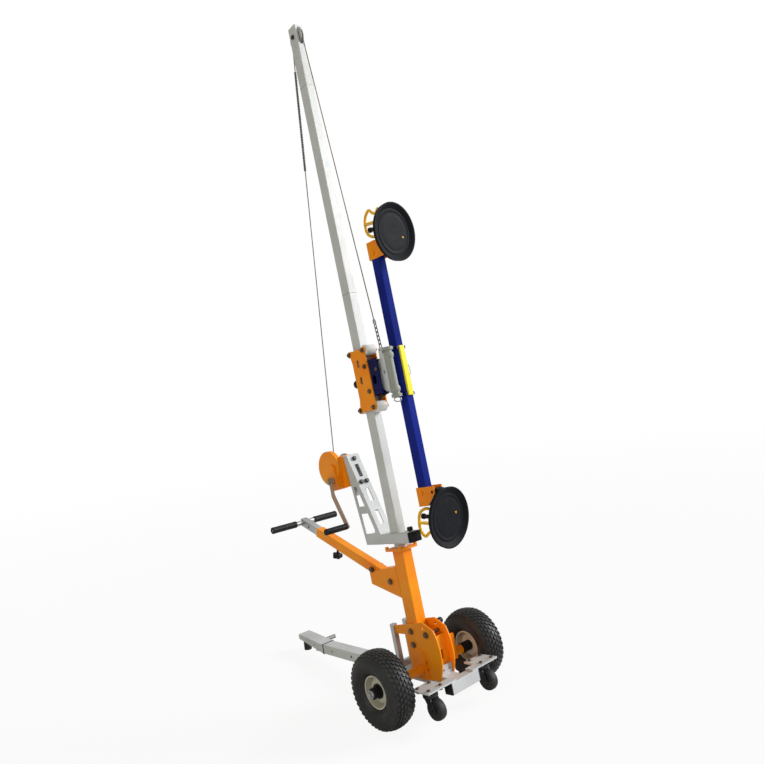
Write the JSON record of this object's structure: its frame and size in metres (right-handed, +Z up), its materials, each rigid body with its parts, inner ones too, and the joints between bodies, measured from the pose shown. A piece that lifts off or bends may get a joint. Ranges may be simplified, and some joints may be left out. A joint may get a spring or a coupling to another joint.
{
  "type": "glass panel lifter",
  "caption": "Wheeled lifter for glass panels: a hand winch raises a tilting bar with suction cups along a tall mast on a stand with pneumatic wheels, casters and a rear leg.",
  "frame": {"origin": "on the floor, midway below the axle", "axes": "+Z up, -Y towards the suction faces, +X to the right seen from the front"},
  "size_m": [0.606, 1.0878, 2.7772],
  "materials": {
    "orange_paint": "smooth gloss paint",
    "grey_paint": "satin paint",
    "mast_metal": "satin anodised",
    "zinc_steel": "zinc plated",
    "cast_grey": "cast and satin",
    "rim_paint": "satin paint",
    "tyre_rubber": "dull black rubber",
    "black_plastic": "matt black",
    "black_steel": "black paint",
    "caster_rubber": "dark rubber",
    "nylon": "white nylon",
    "navy_paint": "gloss paint",
    "blue_paint": "gloss paint",
    "yellow_paint": "gloss paint",
    "pad_rubber": "smooth rubber",
    "rope": "braided line"
  },
  "bodies": {
    "base": {"left_side_plate": "orange_paint", "right_side_plate": "orange_paint", "front_web": "orange_paint", "cross_beam": "grey_paint", "axle_tube": "orange_paint", "axle_shaft": "zinc_steel", "leg_brace": "zinc_steel", "frame_bolts": "zinc_steel", "post": "orange_paint", "handle_arm": "orange_paint", "rear_leg": "grey_paint", "caster_heads": "black_steel"},
    "left_wheel": {"left_tyre": "tyre_rubber", "left_rim": "rim_paint", "left_hub": "black_plastic"},
    "right_wheel": {"right_tyre": "tyre_rubber", "right_rim": "rim_paint", "right_hub": "black_plastic"},
    "left_caster": {"left_caster_fork": "black_steel"},
    "right_caster": {"right_caster_fork": "black_steel"},
    "left_caster_roll": {"left_caster_wheel": "caster_rubber"},
    "right_caster_roll": {"right_caster_wheel": "caster_rubber"},
    "toe": {"leg_toe": "grey_paint", "leg_pull_bar": "zinc_steel", "rear_foot": "caster_rubber"},
    "handle": {"handle_slider": "zinc_steel", "handle_grips": "black_plastic"},
    "knob": {"clamp_knob": "black_plastic"},
    "mast": {"winch_bracket": "grey_paint", "arm_cap": "black_plastic", "mast_lower": "mast_metal", "mast_middle": "mast_metal", "mast_upper": "mast_metal", "pulley_pin": "black_steel", "winch_frame": "orange_paint", "winch_cover": "orange_paint", "hoist_rope": "rope"},
    "pulley": {"head_pulley": "black_steel"},
    "drum": {"winch_drum": "zinc_steel"},
    "crank": {"crank": "zinc_steel"},
    "crank_grip": {"crank_grip": "black_plastic"},
    "carriage": {"carriage_plates": "orange_paint", "carriage_bolts": "zinc_steel", "tilt_bracket": "navy_paint", "rear_knob": "black_plastic", "lift_rope": "rope"},
    "upper_front_roll": {"upper_front_roller": "nylon"},
    "lower_front_roll": {"lower_front_roller": "nylon"},
    "upper_rear_roll": {"upper_rear_roller": "nylon"},
    "lower_rear_roll": {"lower_rear_roller": "nylon"},
    "tilt_head": {"tilt_head": "cast_grey"},
    "suction_frame": {"lift_bar": "blue_paint", "bar_clamp": "yellow_paint", "cup_brackets": "orange_paint"},
    "upper_cup": {"upper_pad": "pad_rubber", "upper_handle": "yellow_paint"},
    "upper_pump_rod": {"upper_plunger": "black_plastic"},
    "lower_cup": {"lower_pad": "pad_rubber", "lower_handle": "yellow_paint"},
    "lower_pump_rod": {"lower_plunger": "black_plastic"}
  },
  "joints": [
    {"name": "left_wheel_spin", "type": "hinge", "parent": "base", "child": "left_wheel", "pos_m": [-0.241, 0, 0.14], "axis": [1, 0, 0], "continuous": true},
    {"name": "left_caster_swivel", "type": "hinge", "parent": "base", "child": "left_caster", "pos_m": [-0.138, -0.13836, 0.12461], "axis": [0, 0.1356, 0.9908], "continuous": true},
    {"name": "left_caster_spin", "type": "hinge", "parent": "left_caster", "child": "left_caster_roll", "pos_m": [-0.138, -0.16536, 0.07481], "axis": [1, 0, 0], "continuous": true},
    {"name": "right_wheel_spin", "type": "hinge", "parent": "base", "child": "right_wheel", "pos_m": [0.241, 0, 0.14], "axis": [1, 0, 0], "continuous": true},
    {"name": "right_caster_swivel", "type": "hinge", "parent": "base", "child": "right_caster", "pos_m": [0.138, -0.13836, 0.12461], "axis": [0, 0.1356, 0.9908], "continuous": true},
    {"name": "right_caster_spin", "type": "hinge", "parent": "right_caster", "child": "right_caster_roll", "pos_m": [0.138, -0.16536, 0.07481], "axis": [1, 0, 0], "continuous": true},
    {"name": "toe_slide", "type": "slide", "parent": "base", "child": "toe", "axis": [0, 0.9972, -0.0748], "range_m": [0, 0.12]},
    {"name": "handle_slide", "type": "slide", "parent": "base", "child": "handle", "axis": [0, 0.9602, 0.2791], "range_m": [0, 0.15]},
    {"name": "knob_turn", "type": "hinge", "parent": "base", "child": "knob", "pos_m": [0, 0.51657, 0.5325], "axis": [0, -0.2791, 0.9602], "continuous": true},
    {"name": "mast_swivel", "type": "hinge", "parent": "base", "child": "mast", "pos_m": [0, 0.08829, 0.58615], "axis": [0, 0.1356, 0.9908], "range_deg": [-90, 90]},
    {"name": "lift", "type": "slide", "parent": "mast", "child": "carriage", "axis": [0, 0.1356, 0.9908], "range_m": [-0.25, 1.2], "deforming": ["lift_rope"]},
    {"name": "pulley_turn", "type": "hinge", "parent": "mast", "child": "pulley", "pos_m": [0, 0.38122, 2.7272], "axis": [1, 0, 0], "continuous": true},
    {"name": "drum_turn", "type": "hinge", "parent": "mast", "child": "drum", "pos_m": [0, 0.43101, 0.89495], "axis": [1, 0, 0], "continuous": true},
    {"name": "crank_turn", "type": "hinge", "parent": "mast", "child": "crank", "pos_m": [0, 0.39075, 0.84757], "axis": [1, 0, 0], "continuous": true},
    {"name": "grip_spin", "type": "hinge", "parent": "crank", "child": "crank_grip", "pos_m": [-0.1089, 0.28275, 0.67332], "axis": [1, 0, 0], "continuous": true},
    {"name": "upper_front_roll_turn", "type": "hinge", "parent": "carriage", "child": "upper_front_roll", "pos_m": [0, 0.14837, 1.37125], "axis": [1, 0, 0], "continuous": true},
    {"name": "upper_rear_roll_turn", "type": "hinge", "parent": "carriage", "child": "upper_rear_roll", "pos_m": [0, 0.23486, 1.35942], "axis": [1, 0, 0], "continuous": true},
    {"name": "lower_front_roll_turn", "type": "hinge", "parent": "carriage", "child": "lower_front_roll", "pos_m": [0, 0.11719, 1.14338], "axis": [1, 0, 0], "continuous": true},
    {"name": "lower_rear_roll_turn", "type": "hinge", "parent": "carriage", "child": "lower_rear_roll", "pos_m": [0, 0.20369, 1.13154], "axis": [1, 0, 0], "continuous": true},
    {"name": "tilt", "type": "hinge", "parent": "carriage", "child": "tilt_head", "pos_m": [0, 0.0868, 1.29086], "axis": [1, 0, 0], "range_deg": [-4, 1.5]},
    {"name": "pan", "type": "hinge", "parent": "tilt_head", "child": "suction_frame", "pos_m": [0, 0.02188, 1.27194], "axis": [0, 0.1269, 0.9919], "range_deg": [-36, 3]},
    {"name": "upper_cup_nod", "type": "hinge", "parent": "suction_frame", "child": "upper_cup", "pos_m": [0.0627, 0.04133, 1.75236], "axis": [0.9945, 0.1037, -0.0133], "range_deg": [-8, 6]},
    {"name": "upper_pump", "type": "slide", "parent": "upper_cup", "child": "upper_pump_rod", "axis": [0.1035, -0.9945, -0.0131], "range_m": [0, 0.012], "stiffness_N_per_m": 250},
    {"name": "lower_cup_nod", "type": "hinge", "parent": "suction_frame", "child": "lower_cup", "pos_m": [0.0627, -0.08012, 0.8031], "axis": [0.9945, 0.1037, -0.0133], "range_deg": [-6, 2]},
    {"name": "lower_pump", "type": "slide", "parent": "lower_cup", "child": "lower_pump_rod", "axis": [0.1035, -0.9945, -0.0131], "range_m": [0, 0.012], "stiffness_N_per_m": 250}
  ],
  "couplings": [
    {"joint": "pulley_turn", "follows": "lift", "rad_per_m": -27.027},
    {"joint": "drum_turn", "follows": "lift", "rad_per_m": -27.548},
    {"joint": "crank_turn", "follows": "lift", "rad_per_m": 110.19},
    {"joint": "upper_front_roll_turn", "follows": "lift", "rad_per_m": -46.512},
    {"joint": "upper_rear_roll_turn", "follows": "lift", "rad_per_m": 66.667},
    {"joint": "lower_front_roll_turn", "follows": "lift", "rad_per_m": -46.512},
    {"joint": "lower_rear_roll_turn", "follows": "lift", "rad_per_m": 66.667}
  ]
}
